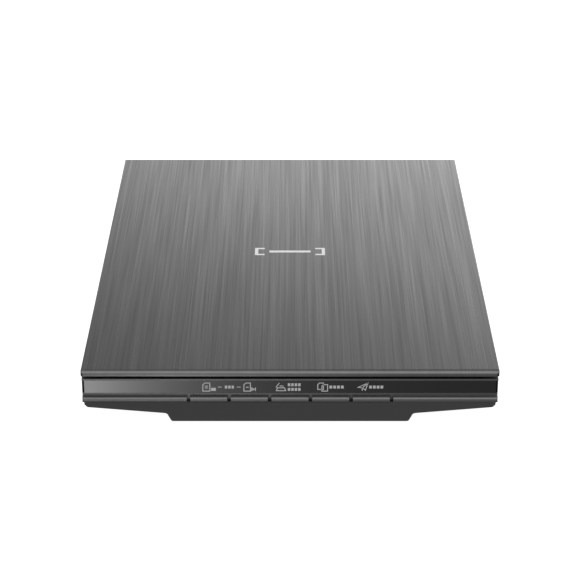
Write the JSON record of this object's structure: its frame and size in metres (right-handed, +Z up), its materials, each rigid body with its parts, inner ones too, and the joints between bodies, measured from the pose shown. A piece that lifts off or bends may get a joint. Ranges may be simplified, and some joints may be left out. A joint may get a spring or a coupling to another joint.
{
  "type": "flatbed scanner",
  "caption": "Slim A4 flatbed document scanner with a hinged lid, glass platen, front buttons and a belt-free carriage that carries a contact image sensor.",
  "frame": {"origin": "centre of the footprint, on the surface the scanner stands on", "axes": "+Z up, +Y from the button front to the rear, +X to the right seen from the front"},
  "size_m": [0.25, 0.367, 0.042],
  "materials": {
    "case_plastic": "fine spark-eroded dark grey plastic",
    "lid_metallic": "metallic grey plastic with a fine brushed grain",
    "gloss_panel": "piano-black gloss",
    "clear_glass": "clear float glass",
    "white_plastic": "matt white",
    "acetal": "natural acetal",
    "black_plastic": "matt black glass-filled plastic",
    "rubber": "matt black rubber",
    "steel": "bright steel",
    "bronze": "sintered bronze",
    "brass": "turned brass",
    "green_board": "green solder mask",
    "black_chip": "moulded epoxy",
    "foam": "open-cell foam",
    "clear_plastic": "clear acrylic",
    "cable_film": "laminated polyester film"
  },
  "bodies": {
    "base": {"lower_case": "case_plastic", "upper_frame": "case_plastic", "platen_glass": "clear_glass", "glass_tape": "black_plastic", "calibration_strip": "white_plastic", "front_panel": "gloss_panel", "rubber_feet": "rubber", "case_screws": "steel", "guide_rod": "steel", "rod_clips": "steel", "clip_screws": "steel", "drive_rack": "acetal", "main_board": "green_board", "board_screws": "steel", "controller_chip": "black_chip", "board_components": "black_chip", "cable_socket": "white_plastic", "usb_socket": "steel", "usb_tongue": "white_plastic", "button_board": "green_board", "tact_switches": "black_plastic", "button_cable": "cable_film", "fixed_flat_cable": "cable_film"},
    "carriage": {"carriage_frame": "black_plastic", "rod_bushes": "bronze", "drive_motor": "steel", "motor_screws": "steel", "gear_pins": "steel", "gear_clips": "steel", "sensor_springs": "steel", "flat_cable": "cable_film"},
    "rotor": {"motor_shaft": "steel", "motor_pinion": "brass"},
    "first_gear": {"first_gear": "acetal"},
    "second_gear": {"second_gear": "acetal"},
    "sensor": {"sensor_housing": "black_plastic", "sensor_lens": "black_plastic", "light_guide": "clear_plastic", "led_unit": "white_plastic", "sensor_cover": "clear_plastic", "sensor_board": "green_board", "sensor_socket": "white_plastic", "sensor_glides": "white_plastic"},
    "hinge_arms": {"hinge_arm_left": "case_plastic", "hinge_arm_right": "case_plastic"},
    "lid": {"lid_cover": "lid_metallic", "lid_liner": "white_plastic", "pad_foam": "foam", "document_pad": "white_plastic", "lid_bumpers": "rubber", "hinge_pins": "steel"},
    "button_far_left": {"button_far_left": "case_plastic"},
    "button_left": {"button_left": "case_plastic"},
    "button_middle": {"button_middle": "case_plastic"},
    "button_right": {"button_right": "case_plastic"},
    "button_far_right": {"button_far_right": "case_plastic"}
  },
  "joints": [
    {"name": "carriage_slide", "type": "slide", "parent": "base", "child": "carriage", "axis": [0, 1, 0], "range_m": [0, 0.306], "deforming": ["flat_cable"]},
    {"name": "second_gear_spin", "type": "hinge", "parent": "carriage", "child": "second_gear", "pos_m": [-0.0222, -0.146, 0.0115], "axis": [0, 0, 1], "continuous": true},
    {"name": "first_gear_spin", "type": "hinge", "parent": "carriage", "child": "first_gear", "pos_m": [-0.0092, -0.146, 0.0135], "axis": [0, 0, 1], "continuous": true},
    {"name": "rotor_spin", "type": "hinge", "parent": "carriage", "child": "rotor", "pos_m": [0.0048, -0.146, 0.0115], "axis": [0, 0, 1], "continuous": true},
    {"name": "sensor_float", "type": "slide", "parent": "carriage", "child": "sensor", "axis": [0, 0, 1], "range_m": [-0.001, 0], "stiffness_N_per_m": 900, "springref_m": 0.0035, "deforming": ["sensor_springs"]},
    {"name": "hinge_rise", "type": "slide", "parent": "base", "child": "hinge_arms", "axis": [0, 0, 1], "range_m": [0, 0.01]},
    {"name": "lid_hinge", "type": "hinge", "parent": "hinge_arms", "child": "lid", "pos_m": [0, 0.179, 0.0372], "axis": [-1, 0, 0], "range_deg": [0, 95]},
    {"name": "button_far_left_press", "type": "slide", "parent": "base", "child": "button_far_left", "axis": [0, 1, 0], "range_m": [0, 0.0008], "stiffness_N_per_m": 1500, "springref_m": -0.0004},
    {"name": "button_left_press", "type": "slide", "parent": "base", "child": "button_left", "axis": [0, 1, 0], "range_m": [0, 0.0008], "stiffness_N_per_m": 1500, "springref_m": -0.0004},
    {"name": "button_middle_press", "type": "slide", "parent": "base", "child": "button_middle", "axis": [0, 1, 0], "range_m": [0, 0.0008], "stiffness_N_per_m": 1500, "springref_m": -0.0004},
    {"name": "button_right_press", "type": "slide", "parent": "base", "child": "button_right", "axis": [0, 1, 0], "range_m": [0, 0.0008], "stiffness_N_per_m": 1500, "springref_m": -0.0004},
    {"name": "button_far_right_press", "type": "slide", "parent": "base", "child": "button_far_right", "axis": [0, 1, 0], "range_m": [0, 0.0008], "stiffness_N_per_m": 1500, "springref_m": -0.0004}
  ],
  "couplings": [
    {"joint": "second_gear_spin", "follows": "carriage_slide", "rad_per_m": 208.33},
    {"joint": "first_gear_spin", "follows": "carriage_slide", "rad_per_m": -694.44},
    {"joint": "rotor_spin", "follows": "carriage_slide", "rad_per_m": 2546.3}
  ]
}
